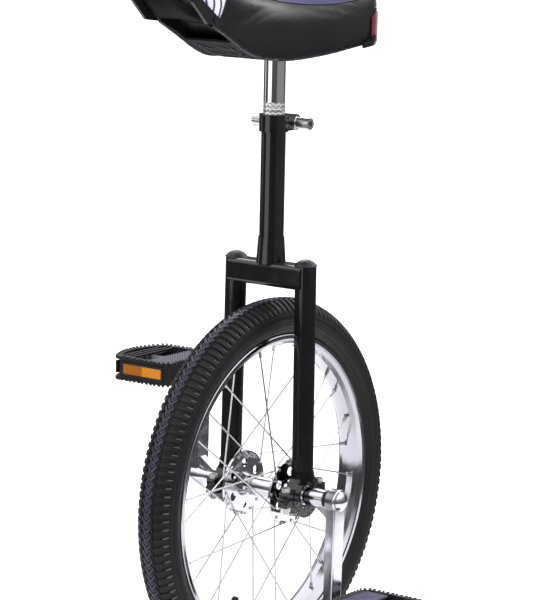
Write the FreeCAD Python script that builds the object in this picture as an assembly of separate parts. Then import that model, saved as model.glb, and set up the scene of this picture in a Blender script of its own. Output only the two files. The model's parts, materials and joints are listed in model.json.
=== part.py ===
"""Unicycle with an 18 inch wheel, drawn in millimetres.

X points forwards, Y to the rider's left and Z up. Every piece is drawn around the
hub's centre and lifted by the tyre's radius when it is written, so that the origin is
the point where the tyre meets the ground. The left crank points down and the right one up.
"""
import FreeCAD, Part
import math
import os

# ---- driving dimensions -------------------------------------------------------------
TYRE_R = 226.0            # 47-355 tyre, outer radius
TYRE_SECTION_R = 24.0
TYRE_WALL = 4.5
TUBE_CENTRE_R = 201.0
TUBE_SECTION_R = 18.6
TUBE_SKIN = 1.3
RIM_FLANGE_R = 184.0
RIM_HALF_WIDTH = 17.7
RIM_WALL = 2.0
RIM_BED_R = 170.0         # the face that the spoke nipples come out of
RIM_SEAT_R = 177.5        # bead seat of a 355 mm rim
SPOKES_PER_SIDE = 14
SPOKE_R = 1.0
SPOKE_STEP = 360.0 / SPOKES_PER_SIDE
SPOKE_CROSS_ANGLE = 2 * SPOKE_STEP   # two-cross lacing
SPOKE_CIRCLE_R = 35.5
ELBOW_STAND_OFF = 2.0     # outside spokes bend this far off the flange, to clear its edge
NIPPLE_R = 1.95
NIPPLE_OFFSET = 3.0
VALVE_ANGLE = -65.6       # from +X towards +Z, midway between two spoke holes

FLANGE_Y = 33.0
FLANGE_R = 39.0
FLANGE_THICK = 3.0
FLANGE_HOLE_R = 5.2
FLANGE_HOLE_CIRCLE_R = 25.0
FLANGE_HOLES = 6
HUB_BARREL_R = 12.0
AXLE_R = 8.5
SQUARE_TAPER = 12.6

BEARING_Y = 52.4
BEARING_OUTER_R = 17.5    # 6003 bearing: 17 x 35 x 10
BEARING_WIDTH = 10.0
BEARING_PITCH_R = 13.0
BALL_R = 2.38
BALLS = 10
OUTER_RING_INNER_R = 14.3
INNER_RING_OUTER_R = 11.7
HOLDER_R = 25.0
HOLDER_CAP_R = 26.5
HOLDER_WIDTH = 14.0
HOLDER_LIP_R = 15.2
EAR_BOLT_X = 33.0
EAR_THICK = 9.0

LEG_R = 12.5               # 25 mm tube
LEG_BOTTOM_Z = 24.0
LEG_TOP_Z = 270.0
LEG_TOP_Y = 49.7
CROWN_Z = (242.0, 270.0)
CROWN_HALF_DEPTH = 15.0
NECK_R = 14.3             # 28.6 mm neck tube
NECK_BORE_R = 12.78
NECK_TOP_Z = 440.0
SOCKET_TOP_Z = 299.0
COLLAR_Z = (421.0, 441.0)
COLLAR_R = 17.0
COLLAR_BOLT_X = -22.0
COLLAR_BOLT_Z = 430.5

CRANK_LENGTH = 125.0
CRANK_LEAN = 1.2          # degrees forward of straight down
CRANK_Y = (94.0, 106.5)
CRANK_BOSS_R = 10.6
CRANK_EYE_R = 14.0
CRANK_TIP_R = 11.0
BLADE_HALF = (10.8, 9.4)   # at the eye and at the pedal
PEDAL_Y = (113.0, 201.5)
PEDAL_BOW = 7.0           # how far the outer end bulges past its corners
PEDAL_HALF_LENGTH = 49.5
PEDAL_HALF_HEIGHT = 15.0
REFLECTOR_Y = (123.0, 180.0)
REFLECTOR_HALF_HEIGHT = 5.8
PEDAL_WALL = 4.5
SPINDLE_R = 5.5

POST_R = 12.7             # 25.4 mm seat post
POST_WALL = 2.0
POST_Z = (330.0, 515.0)
PLATE_HALF = (35.0, 28.0)
PLATE_THICK = 4.0
STUD_X = 24.0
STUD_Y = 19.0
STUD_TOP_Z = 523.0

# Saddle stations: place along X, half width, lower edge and top, seen from the hub.
SADDLE = [
    (-126.0, 34.0, 532.0, 598.0),
    (-118.0, 56.0, 527.0, 605.0),
    (-100.0, 71.0, 523.5, 606.0),
    (-82.0, 76.0, 521.5, 603.0),
    (-52.0, 73.0, 517.5, 596.0),
    (-27.0, 68.0, 513.5, 590.0),
    (0.0, 61.0, 510.0, 585.0),
    (30.0, 53.5, 507.5, 582.0),
    (60.0, 47.0, 508.0, 583.0),
    (90.0, 42.0, 513.5, 588.0),
    (120.0, 40.0, 526.5, 598.0),
    (150.0, 39.8, 542.5, 612.0),
    (178.0, 38.5, 556.0, 626.0),
    (200.0, 34.0, 570.0, 636.0),
    (217.0, 27.0, 585.0, 638.0),
    (227.0, 15.0, 600.0, 632.0),
]
SKIRT = 5.0               # thickness of the cover and foam beside the base
SKIRT_DROP = 14.0         # the sections run on this far below the skirt's trimmed edge
BASE_WALL = 3.0
BASE_DEPTH = 16.0
BASE_SPAN = (-101.0, 179.0)
BASE_FLOOR = (42.0, 126.0)  # the pan is closed underneath between these, ahead of the post
FRONT_WALL = 3.7
FRONT_HALF_WIDTH = 40.3   # inside the nose bumper
FRONT_CORNER = 14.3
REAR_WALL = 3.0
REAR_X = -127.3           # inside the rear bumper
REAR_HALF_WIDTH = 75.0
REAR_CORNER = 55.0
INSERT_THICK = 1.2
FRONT_SCREW = (172.0, 559.5)
REAR_SCREW = (-84.0, 529.0)
REAR_SCREW_FACE = 77.6


# ---- helpers ------------------------------------------------------------------------
def vec(x, y, z):
    return FreeCAD.Vector(x, y, z)


def cyl_y(radius, y0, y1, x=0.0, z=0.0):
    return Part.makeCylinder(radius, y1 - y0, vec(x, y0, z), vec(0, 1, 0))


def cyl_z(radius, z0, z1, x=0.0, y=0.0):
    return Part.makeCylinder(radius, z1 - z0, vec(x, y, z0), vec(0, 0, 1))


def cone_y(r0, r1, y0, y1):
    return Part.makeCone(r0, r1, y1 - y0, vec(0, y0, 0), vec(0, 1, 0))


def ring_y(outer, inner, y0, y1):
    return cyl_y(outer, y0, y1).cut(cyl_y(inner, y0 - 1, y1 + 1))


def box(x, y, z):
    """Box from pairs of limits."""
    return Part.makeBox(x[1] - x[0], y[1] - y[0], z[1] - z[0], vec(x[0], y[0], z[0]))


def hexagon(flats, height, base, axis):
    """Hexagonal prism with its base centre at base."""
    radius = flats / math.sqrt(3)
    corners = [math.radians(60 * k) for k in range(7)]
    wire = Part.makePolygon([vec(radius * math.cos(a), radius * math.sin(a), 0) for a in corners])
    prism = Part.Face(wire).extrude(vec(0, 0, height))
    prism.Placement = FreeCAD.Placement(base, FreeCAD.Rotation(vec(0, 0, 1), axis))
    return prism


def turned(outline):
    """Solid of revolution about Y from a closed wire of (y, radius) edges."""
    face = Part.Face(outline)
    return face.revolve(vec(0, 0, 0), vec(0, 1, 0), 360)


def profile(points):
    """Closed wire of straight edges in the plane of Y and radius."""
    corners = [vec(0, y, r) for y, r in points]
    return Part.makePolygon(corners + corners[:1])


def fuse(shapes):
    return shapes[0].multiFuse(shapes[1:]).removeSplitter()


def mirrored(shape):
    """The same piece on the right-hand side."""
    return shape.mirror(vec(0, 0, 0), vec(0, 1, 0))


def turned_about_axle(shape, degrees):
    """Turn a copy about the wheel's axle, from +X towards +Z."""
    copy = shape.copy()
    copy.rotate(vec(0, 0, 0), vec(0, -1, 0), degrees)
    return copy


def write(name, *shapes):
    """Lift the node's solids to the ground frame and write them."""
    solids = [solid for shape in shapes for solid in shape.Solids]
    node = solids[0].copy() if len(solids) == 1 else Part.makeCompound(solids)
    node.translate(vec(0, 0, TYRE_R))
    node.exportStep(f"parts/{name}.step")


def write_pair(name, shape, right=None):
    """Write the left piece and its partner on the right."""
    write(f"left_{name}", shape)
    write(f"right_{name}", right if right else mirrored(shape))


# ---- wheel --------------------------------------------------------------------------
def make_tyre():
    crown_r = TYRE_R - TYRE_SECTION_R
    hook_y = 17.6
    hook_r = crown_r - math.sqrt(TYRE_SECTION_R ** 2 - hook_y ** 2)
    bead_out = RIM_HALF_WIDTH - RIM_WALL - 0.3
    bead_in = bead_out - 3.2
    inner_r = TYRE_SECTION_R - TYRE_WALL
    neck_y = 14.0
    neck_r = crown_r - math.sqrt(inner_r ** 2 - neck_y ** 2)
    foot_r = RIM_SEAT_R + 0.4
    bead = [(-hook_y, hook_r), (-bead_out, RIM_FLANGE_R + 0.3), (-bead_out, foot_r), (-bead_in, foot_r),
            (-bead_in, RIM_FLANGE_R), (-neck_y, neck_r)]
    left = [vec(0, y, r) for y, r in bead]
    right = [vec(0, -y, r) for y, r in bead]
    edges = [Part.makeLine(a, b) for side in (left, right) for a, b in zip(side, side[1:])]
    edges.append(Part.Arc(left[0], vec(0, 0, TYRE_R), right[0]).toShape())
    edges.append(Part.Arc(left[-1], vec(0, 0, crown_r + inner_r), right[-1]).toShape())
    return turned(Part.Wire(Part.__sortEdges__(edges)))


def rim_section(grow):
    """Half of the rim's section, from its middle to the flange; grow is the wall's thickness."""
    return [(0.0, RIM_BED_R + grow), (8.0, RIM_BED_R + 0.5 + grow), (13.5 - 0.6 * grow, 173.0 + grow),
            (RIM_HALF_WIDTH - 0.6 - grow, RIM_SEAT_R - 1.0), (RIM_HALF_WIDTH - grow, RIM_SEAT_R + 1.5)]


def make_rim():
    outer = rim_section(0.0)
    inner = rim_section(RIM_WALL)
    flange = [(RIM_HALF_WIDTH, RIM_FLANGE_R - 1.0), (RIM_HALF_WIDTH - 0.6, RIM_FLANGE_R),
              (RIM_HALF_WIDTH - 1.6, RIM_FLANGE_R), (RIM_HALF_WIDTH - RIM_WALL, RIM_FLANGE_R - 0.8)]
    half = outer + flange + inner[::-1]
    other = [(-y, r) for y, r in half[1:-1]]
    rim = turned(profile(half + other[::-1]))
    hole = Part.makeCylinder(2.6, 10, vec(RIM_BED_R - 4, 0, 0), vec(1, 0, 0))
    holes = []
    for k in range(2 * SPOKES_PER_SIDE):
        drill = hole.copy()
        drill.translate(vec(0, NIPPLE_OFFSET if k % 2 == 0 else -NIPPLE_OFFSET, 0))
        holes.append(turned_about_axle(drill, spoke_phase(1) + SPOKE_STEP / 2 * k))
    valve_hole = Part.makeCylinder(4.3, 12, vec(RIM_BED_R - 5, 0, 0), vec(1, 0, 0))
    holes.append(turned_about_axle(valve_hole, VALVE_ANGLE))
    return rim.cut(Part.makeCompound(holes))


def make_rim_tape():
    tape = ring_y(RIM_BED_R + 6.0, RIM_BED_R + 5.2, -11.0, 11.0)
    hole = Part.makeCylinder(4.3, 12, vec(RIM_BED_R, 0, 0), vec(1, 0, 0))
    return tape.cut(turned_about_axle(hole, VALVE_ANGLE))


def make_inner_tube():
    tube = Part.makeTorus(TUBE_CENTRE_R, TUBE_SECTION_R, vec(0, 0, 0), vec(0, 1, 0))
    air = Part.makeTorus(TUBE_CENTRE_R, TUBE_SECTION_R - TUBE_SKIN, vec(0, 0, 0), vec(0, 1, 0))
    return tube.cut(air)


def make_valve():
    stem = Part.makeCylinder(4.0, 32.5, vec(149, 0, 0), vec(1, 0, 0))
    nose = Part.makeCylinder(2.6, 7.0, vec(142, 0, 0), vec(1, 0, 0))
    nut = hexagon(11.0, 3.0, vec(166.5, 0, 0), vec(1, 0, 0)).cut(stem)
    return turned_about_axle(stem.fuse(nose), VALVE_ANGLE), turned_about_axle(nut, VALVE_ANGLE)


def make_valve_cap():
    body = Part.makeCylinder(4.4, 12.5, vec(135.5, 0, 0), vec(1, 0, 0))
    tip = Part.makeCone(3.0, 4.4, 2.5, vec(133, 0, 0), vec(1, 0, 0))
    hollow = Part.makeCylinder(2.7, 9.0, vec(140, 0, 0), vec(1, 0, 0))
    return turned_about_axle(body.fuse(tip).cut(hollow), VALVE_ANGLE)


def make_joint_sleeve():
    """Sleeve behind the rim's butt joint, opposite the valve."""
    plate = ring_y(RIM_BED_R + 4.9, RIM_BED_R + 2.9, -7.0, 7.0)
    block = Part.makeBox(20, 14, 40, vec(RIM_BED_R - 5, -7, -20))
    for side in (1, -1):
        gap = Part.makeCylinder(3.6, 20, vec(RIM_BED_R - 5, side * NIPPLE_OFFSET, 0), vec(1, 0, 0))
        block = block.cut(turned_about_axle(gap, -side * SPOKE_STEP / 4))
    return turned_about_axle(plate.common(block), VALVE_ANGLE + 180)


def spoke_phase(side):
    """Hub angle of a side's first spoke; the right flange is turned by a quarter of a pair."""
    first = VALVE_ANGLE + 7.5 * SPOKE_STEP / 2
    return first if side > 0 else first - SPOKE_STEP / 2


def elbow_offset(outside):
    """Distance of a spoke's middle from the flange's middle at its elbow."""
    return FLANGE_THICK / 2 + SPOKE_R + (ELBOW_STAND_OFF if outside else 0.1)


def spoke_ends(k, side):
    """Hub and rim ends of one spoke; even spokes lie outside the flange and lean forwards."""
    outside = k % 2 == 0
    hub_angle = math.radians(SPOKE_STEP * k + spoke_phase(side))
    lean = SPOKE_CROSS_ANGLE if outside else -SPOKE_CROSS_ANGLE
    rim_angle = hub_angle + math.radians(lean)
    beside = elbow_offset(outside)
    hub_y = side * (FLANGE_Y + (beside if outside else -beside))
    hub = vec(SPOKE_CIRCLE_R * math.cos(hub_angle), hub_y, SPOKE_CIRCLE_R * math.sin(hub_angle))
    rim_r = RIM_BED_R + 1.5
    rim = vec(rim_r * math.cos(rim_angle), side * NIPPLE_OFFSET, rim_r * math.sin(rim_angle))
    return hub, rim, outside


def make_spoke(k, side):
    hub, rim, outside = spoke_ends(k, side)
    along = (rim - hub).normalize()
    shaft = Part.makeCylinder(SPOKE_R, (rim - hub).Length, hub, along)
    inwards = -side if outside else side
    far_face = elbow_offset(outside) + FLANGE_THICK / 2
    elbow = Part.makeCylinder(SPOKE_R, far_face + 1.0, hub, vec(0, inwards, 0))
    bend = Part.makeSphere(SPOKE_R, hub)
    head_at = vec(hub.x, hub.y + inwards * (far_face + 0.1), hub.z)
    head = Part.makeCylinder(1.9, 1.0, head_at, vec(0, inwards, 0))
    return shaft.multiFuse([elbow, bend, head])


def make_nipple(k, side):
    hub, rim, _ = spoke_ends(k, side)
    along = (rim - hub).normalize()
    barrel = Part.makeCylinder(NIPPLE_R, 12.0, rim - along * 10.5, along)
    head = Part.makeCylinder(2.9, 1.3, rim + along * 1.4, along)
    bore = Part.makeCylinder(SPOKE_R + 0.03, 20.0, rim - along * 14, along)
    return barrel.fuse(head).cut(bore)


def make_hub_shell():
    flange = ring_y(FLANGE_R, AXLE_R, FLANGE_Y - FLANGE_THICK / 2, FLANGE_Y + FLANGE_THICK / 2)
    root = cone_y(HUB_BARREL_R, 15.0, FLANGE_Y - 8, FLANGE_Y - FLANGE_THICK / 2)
    root_out = cone_y(15.0, HUB_BARREL_R, FLANGE_Y + FLANGE_THICK / 2, FLANGE_Y + 6)
    end = cyl_y(10.6, FLANGE_Y, BEARING_Y - BEARING_WIDTH / 2 - 0.2)
    drills = []
    for k in range(FLANGE_HOLES):
        hole = cyl_y(FLANGE_HOLE_R, 20, 45, FLANGE_HOLE_CIRCLE_R, 0)
        drills.append(turned_about_axle(hole, 30 + 360.0 / FLANGE_HOLES * k))
    spoke_hole = cyl_y(SPOKE_R + 0.15, 20, 45, SPOKE_CIRCLE_R, 0)
    halves = []
    for side in (1, -1):
        half = fuse([flange, root, root_out, end]).cut(Part.makeCompound(drills))
        places = [SPOKE_STEP * k + spoke_phase(side) for k in range(SPOKES_PER_SIDE)]
        holes = [turned_about_axle(spoke_hole, angle) for angle in places]
        half = half.cut(Part.makeCompound(holes))
        halves.append(half if side > 0 else mirrored(half))
    barrel = cyl_y(HUB_BARREL_R, -FLANGE_Y, FLANGE_Y)
    return fuse([barrel] + halves).cut(cyl_y(AXLE_R, -60, 60))


def make_axle():
    shaft = cyl_y(AXLE_R, -58.4, 58.4)
    half = SQUARE_TAPER / 2
    corners = cyl_y(8.3, 58, 84)
    square = box((-half, half), (58, 84), (-half, half)).common(corners)
    thread = cyl_y(4.05, 62, 90)
    axle = shaft.multiFuse([square, mirrored(square)]).cut(Part.makeCompound([thread, mirrored(thread)]))
    return turned_about_axle(axle, CRANK_LEAN)


# ---- bearings and their holders -----------------------------------------------------
def ball_groove():
    return Part.makeTorus(BEARING_PITCH_R, BALL_R + 0.04, vec(0, BEARING_Y, 0), vec(0, 1, 0))


def bearing_span():
    return BEARING_Y - BEARING_WIDTH / 2, BEARING_Y + BEARING_WIDTH / 2


def make_outer_ring():
    return ring_y(BEARING_OUTER_R, OUTER_RING_INNER_R, *bearing_span()).cut(ball_groove())


def make_inner_ring():
    return ring_y(INNER_RING_OUTER_R, AXLE_R, *bearing_span()).cut(ball_groove())


def ball_places():
    angles = [2 * math.pi * k / BALLS for k in range(BALLS)]
    return [vec(BEARING_PITCH_R * math.cos(a), BEARING_Y, BEARING_PITCH_R * math.sin(a)) for a in angles]


def make_balls():
    return Part.makeCompound([Part.makeSphere(BALL_R, place) for place in ball_places()])


def make_cage():
    pockets = []
    for place in ball_places():
        outwards = vec(place.x, 0, place.z).normalize()
        pockets.append(Part.makeCylinder(BALL_R + 0.06, 8, place - outwards * 4, outwards))
    return ring_y(13.7, 12.1, BEARING_Y - 3.3, BEARING_Y + 3.3).cut(Part.makeCompound(pockets))


def make_seals():
    inner, outer = bearing_span()
    seals = [ring_y(OUTER_RING_INNER_R, INNER_RING_OUTER_R + 0.2, inner + 0.2, inner + 1.0),
             ring_y(OUTER_RING_INNER_R, INNER_RING_OUTER_R + 0.2, outer - 1.0, outer - 0.2)]
    return Part.makeCompound(seals)


def holder_span():
    return BEARING_Y - HOLDER_WIDTH / 2, BEARING_Y + HOLDER_WIDTH / 2


def holder_cut():
    """Room for the bearing, the lip at its outer face and the axle."""
    y0, y1 = holder_span()
    seat = cyl_y(BEARING_OUTER_R, y0 + 2.0, y1 - 2.0)
    return seat.multiFuse([cyl_y(HOLDER_LIP_R, y0 - 20, y1 + 20)])


def ear_holes():
    return Part.makeCompound([cyl_z(3.2, -30, 30, x, BEARING_Y) for x in (-EAR_BOLT_X, EAR_BOLT_X)])


def make_holder():
    """Upper half of the bearing holder, welded to the leg's end."""
    y0, y1 = holder_span()
    ring = cyl_y(HOLDER_R, y0, y1)
    ears = box((-41, 41), (y0 + 1, y1 - 1), (-5, EAR_THICK))
    ears = ears.makeFillet(4.0, [e for e in ears.Edges if e.BoundBox.XLength < 1])
    socket = Part.makeCone(14.1, 13.4, 14, vec(0, BEARING_Y, 14), vec(0, 0, 1))
    leg_room = along_leg(LEG_R, LEG_BOTTOM_Z, LEG_BOTTOM_Z + 40)
    body = fuse([ring, ears, socket]).cut(leg_room).cut(holder_cut()).cut(ear_holes())
    return body.common(box((-60, 60), (0, 100), (0.2, 60)))


def make_holder_cap():
    """Lower half of the bearing holder, ribbed round its outside."""
    y0, y1 = holder_span()
    ring = cyl_y(HOLDER_CAP_R, y0, y1)
    ears = box((-40, 40), (y0 + 1, y1 - 1), (-EAR_THICK, 5))
    body = ring.fuse(ears)
    grooves = []
    for angle in range(-140, -39, 20):
        groove = cyl_y(2.4, y0 + 2.5, y1 - 2.5, HOLDER_CAP_R + 0.8, 0)
        grooves.append(turned_about_axle(groove, angle))
    body = body.cut(Part.makeCompound(grooves)).cut(holder_cut()).cut(ear_holes())
    return body.common(box((-60, 60), (0, 100), (-60, -0.2)))


def make_cap_bolts():
    bolts = []
    for side in (1, -1):
        for x in (-EAR_BOLT_X, EAR_BOLT_X):
            y = side * BEARING_Y
            head = cyl_z(5.0, EAR_THICK, EAR_THICK + 5, x, y)
            socket = hexagon(5.0, 3.0, vec(x, y, EAR_THICK + 2.5), vec(0, 0, 1))
            shank = cyl_z(3.0, -EAR_THICK - 8, EAR_THICK + 1, x, y)
            bolts.append(head.fuse(shank).cut(socket))
    return Part.makeCompound(bolts)


def make_cap_nuts():
    nuts = []
    for side in (1, -1):
        for x in (-EAR_BOLT_X, EAR_BOLT_X):
            y = side * BEARING_Y
            nut = hexagon(10.0, 5.5, vec(x, y, -EAR_THICK - 5.5), vec(0, 0, 1))
            nuts.append(nut.cut(cyl_z(3.0, -40, 0, x, y)))
    return Part.makeCompound(nuts)


# ---- frame --------------------------------------------------------------------------
def leg_axis():
    """Foot of the left leg and its direction; the legs lean in slightly towards the crown."""
    foot = vec(0, BEARING_Y, 0)
    top = vec(0, LEG_TOP_Y, LEG_TOP_Z)
    return foot, (top - foot).normalize()


def along_leg(radius, z0, z1):
    foot, direction = leg_axis()
    return Part.makeCylinder(radius, z1 - z0, foot + direction * z0, direction)


def make_leg():
    return along_leg(LEG_R, LEG_BOTTOM_Z, LEG_TOP_Z).cut(along_leg(LEG_R - 2.0, 0, LEG_TOP_Z + 5))


def make_leg_cap():
    foot, direction = leg_axis()
    height = 7.3
    cap_r = LEG_R + 1.0
    sphere_r = (cap_r ** 2 + height ** 2) / (2 * height)
    centre = foot + direction * (LEG_TOP_Z + height - sphere_r)
    dome = Part.makeSphere(sphere_r, centre).common(along_leg(cap_r, LEG_TOP_Z, LEG_TOP_Z + 20))
    return dome.fuse(along_leg(LEG_R - 2.0, LEG_TOP_Z - 12, LEG_TOP_Z + 1))


def make_crown():
    """Box-section bridge between the legs, with a socket that the neck tube is welded into."""
    bar = box((-CROWN_HALF_DEPTH, CROWN_HALF_DEPTH), (-52, 52), CROWN_Z)
    long_edges = [e for e in bar.Edges if e.BoundBox.YLength > 50]
    bar = bar.makeFillet(6.0, long_edges)
    socket = Part.makeCone(17.4, NECK_R + 0.9, SOCKET_TOP_Z - CROWN_Z[1] + 2, vec(0, 0, CROWN_Z[1] - 2))
    hollow = box((-12.5, 12.5), (-50, 50), (CROWN_Z[0] + 2.5, CROWN_Z[1] - 2.5))
    leg = along_leg(LEG_R, 100, 400)
    tubes = Part.makeCompound([leg, mirrored(leg), cyl_z(NECK_R, CROWN_Z[1] - 2.5, 400)])
    crown = bar.cut(hollow).fuse(socket).cut(tubes)
    return max(crown.Solids, key=lambda solid: solid.Volume)


def make_neck():
    tube = cyl_z(NECK_R, CROWN_Z[1] - 2.5, NECK_TOP_Z).cut(cyl_z(NECK_BORE_R, 0, 500))
    slot = box((-20, 0), (-1.5, 1.5), (NECK_TOP_Z - 36, NECK_TOP_Z + 1))
    return tube.cut(slot)


def make_collar():
    ring = cyl_z(COLLAR_R, COLLAR_Z[0], COLLAR_Z[1])
    ears = box((-31, -8), (-13, 15), (COLLAR_Z[0] + 1, COLLAR_Z[1] - 1))
    upright = [e for e in ears.Edges if e.BoundBox.YLength > 20 and e.BoundBox.XMax < -30]
    ears = ears.makeFillet(5.0, upright)
    body = fuse([ring, ears]).cut(cyl_z(NECK_R + 0.02, 0, 500))
    slit = box((-40, -5), (-1.2, 1.2), (400, 460))
    return body.cut(slit).cut(cyl_y(3.6, -50, 50, COLLAR_BOLT_X, COLLAR_BOLT_Z))


def make_collar_bolt():
    head = cyl_y(6.8, 18.2, 36.0, COLLAR_BOLT_X, COLLAR_BOLT_Z)
    socket = hexagon(6.0, 8.0, vec(COLLAR_BOLT_X, 28.5, COLLAR_BOLT_Z), vec(0, 1, 0))
    shank = cyl_y(3.4, -36.0, 19.0, COLLAR_BOLT_X, COLLAR_BOLT_Z)
    return head.fuse(shank).cut(socket)


def make_collar_nut():
    """Round nut with serrations, screwed on the collar bolt's far end."""
    nut = cyl_y(8.5, -42.5, -28.5, COLLAR_BOLT_X, COLLAR_BOLT_Z)
    notches = []
    for k in range(16):
        angle = 2 * math.pi * k / 16
        x = COLLAR_BOLT_X + 8.9 * math.cos(angle)
        notches.append(cyl_y(0.9, -50, -20, x, COLLAR_BOLT_Z + 8.9 * math.sin(angle)))
    return nut.cut(Part.makeCompound(notches)).cut(cyl_y(3.4, -38, -20, COLLAR_BOLT_X, COLLAR_BOLT_Z))


def make_collar_washers():
    """Flat washer under the bolt's head and the long spacer under the nut."""
    hole = cyl_y(3.5, -60, 60, COLLAR_BOLT_X, COLLAR_BOLT_Z)
    washer = cyl_y(8.0, 15.0, 18.2, COLLAR_BOLT_X, COLLAR_BOLT_Z).cut(hole)
    spacer = cyl_y(6.5, -28.5, -13.0, COLLAR_BOLT_X, COLLAR_BOLT_Z).cut(hole)
    return Part.makeCompound([washer, spacer])


# ---- cranks and pedals --------------------------------------------------------------
def lean_crank(shape, side):
    """Turn a crank piece drawn straight down on the left to its place on either side."""
    piece = shape if side > 0 else mirrored(shape)
    return turned_about_axle(piece, CRANK_LEAN if side > 0 else 180 + CRANK_LEAN)


def make_crank(side):
    y0, y1 = CRANK_Y
    eye = cyl_y(CRANK_EYE_R, y0, y1)
    tip = cyl_y(CRANK_TIP_R, y0, y1, 0, -CRANK_LENGTH)
    wide, narrow = BLADE_HALF
    blade = Part.makePolygon([vec(-wide, y0, 0), vec(wide, y0, 0), vec(narrow, y0, -CRANK_LENGTH),
                              vec(-narrow, y0, -CRANK_LENGTH), vec(-wide, y0, 0)])
    blade = Part.Face(blade).extrude(vec(0, y1 - y0, 0))
    boss = cyl_y(CRANK_BOSS_R, 61.0, y0 + 1)
    flare = cone_y(CRANK_BOSS_R, CRANK_EYE_R, y0 - 7, y0)
    web = Part.makePolygon([vec(-5, 68, -5), vec(-5, y0 + 1, -5), vec(-5, y0 + 1, -24), vec(-5, 68, -5)])
    web = Part.Face(web).extrude(vec(10, 0, 0))
    body = fuse([eye, tip, blade, boss, flare, web])
    rims = [e for e in body.Edges if e.BoundBox.YLength < 0.01 and e.BoundBox.YMin > y1 - 0.1]
    body = body.makeFillet(1.8, rims)
    half = SQUARE_TAPER / 2 + 0.03
    square = box((-half, half), (60, 85), (-half, half)).common(cyl_y(8.35, 60, 85))
    bores = Part.makeCompound([square, cyl_y(4.2, 84, 90), cyl_y(10.2, 88, 110),
                               cyl_y(7.15, 80, 110, 0, -CRANK_LENGTH)])
    return lean_crank(body.cut(bores), side)


def make_crank_bolt(side):
    head = hexagon(14.0, 7.0, vec(0, 89, 0), vec(0, 1, 0))
    bolt = fuse([head, cyl_y(9.0, 88, 89.5), cyl_y(4.0, 64, 89)])
    return lean_crank(bolt, side)


def make_dust_cap(side):
    """Domed cover over the crank bolt."""
    y1 = CRANK_Y[1]
    skirt = cyl_y(10.15, y1 - 4.0, y1)
    rim = cyl_y(12.4, y1, y1 + 1.2)
    dome = Part.makeSphere(16.0, vec(0, y1 - 9.6, 0)).common(cyl_y(11.6, y1, y1 + 10))
    hollow = cyl_y(8.6, y1 - 5.0, y1)
    return lean_crank(fuse([skirt, rim, dome]).cut(hollow), side)


def on_pedal_axis(shape):
    """Move a piece drawn round the Y axis to the foot of the straight-down crank."""
    copy = shape.copy()
    copy.translate(vec(0, 0, -CRANK_LENGTH))
    return copy


def pedal_centre(side):
    """Pedal axis after the crank's lean."""
    lean = math.radians(CRANK_LEAN)
    x = side * CRANK_LENGTH * math.sin(lean)
    return vec(x, 0, -side * CRANK_LENGTH * math.cos(lean))


def place_pedal(shape, side):
    """Pedals hang level, whatever the crank's angle."""
    piece = (shape if side > 0 else mirrored(shape)).copy()
    piece.translate(pedal_centre(side))
    return piece


def make_spindle(side):
    thread = cyl_y(7.1, CRANK_Y[0], CRANK_Y[1] + 0.5)
    flange = hexagon(15.0, 5.0, vec(0, CRANK_Y[1] + 0.5, 0), vec(0, 1, 0))
    shaft = cyl_y(SPINDLE_R, CRANK_Y[1], PEDAL_Y[1] - 11)
    stub = cyl_y(3.5, PEDAL_Y[1] - 12, PEDAL_Y[1] - 5)
    return lean_crank(on_pedal_axis(fuse([thread, flange, shaft, stub])), side)


def make_spindle_nut(side):
    nut = hexagon(11.0, 5.0, vec(0, PEDAL_Y[1] - 10.8, 0), vec(0, 1, 0)).cut(cyl_y(3.5, 170, 210))
    return lean_crank(on_pedal_axis(nut), side)


def pedal_plan(inset):
    """Pedal outline seen from above: cut corners and a bowed outer end."""
    x = PEDAL_HALF_LENGTH - inset
    y0 = PEDAL_Y[0] + inset
    y1 = PEDAL_Y[1] - inset
    cut = 9.0 - 0.4 * inset
    corners = [(-x, y1 - cut), (-x, y0 + cut), (-x + cut, y0), (x - cut, y0), (x, y0 + cut), (x, y1 - cut)]
    points = [vec(px, py, 0) for px, py in corners]
    edges = [Part.makeLine(a, b) for a, b in zip(points, points[1:])]
    edges.append(Part.Arc(points[-1], vec(0, y1 + PEDAL_BOW, 0), points[0]).toShape())
    return Part.Face(Part.Wire(edges))


def pedal_slab(inset, z0, z1):
    slab = pedal_plan(inset).extrude(vec(0, 0, z1 - z0))
    slab.translate(vec(0, 0, z0))
    return slab


def reflector_block(side_x, grow):
    half_height = REFLECTOR_HALF_HEIGHT + grow
    x0 = side_x * (PEDAL_HALF_LENGTH - 2.2 - grow)
    x1 = side_x * (PEDAL_HALF_LENGTH + (3 if grow else 0.2))
    return box(sorted((x0, x1)), (REFLECTOR_Y[0] - grow, REFLECTOR_Y[1] + grow), (-half_height, half_height))


def make_pedal_body(side):
    high = PEDAL_HALF_HEIGHT
    frame = pedal_slab(0, -high, high).cut(pedal_slab(PEDAL_WALL, -20, 20))
    barrel = cyl_y(10.5, PEDAL_Y[0] + 1, PEDAL_Y[1] + 4)
    ribs = [box((-46, 46), (y, y + 3), (-8, 8)) for y in (131, 152, 173, 190)]
    treads = []
    for z in (-high + 1.5, high - 5.1):
        places = [119 + 4.5 * k for k in range(7)] + [176, 184, 192]
        treads += [box((-46, 46), (y, y + 2.5), (z, z + 3.6)) for y in places]
    inside = pedal_slab(1.0, -high, high)
    body = fuse([frame, barrel] + [bar.common(inside) for bar in ribs + treads])
    bore = cyl_y(8.1, PEDAL_Y[0] - 5, PEDAL_Y[1] + 10).fuse(cyl_y(9.8, PEDAL_Y[1] + 4, PEDAL_Y[1] + 10))
    pockets = [reflector_block(x, 0.15) for x in (-1, 1)]
    return place_pedal(body.cut(Part.makeCompound([bore] + pockets)), side)


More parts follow.
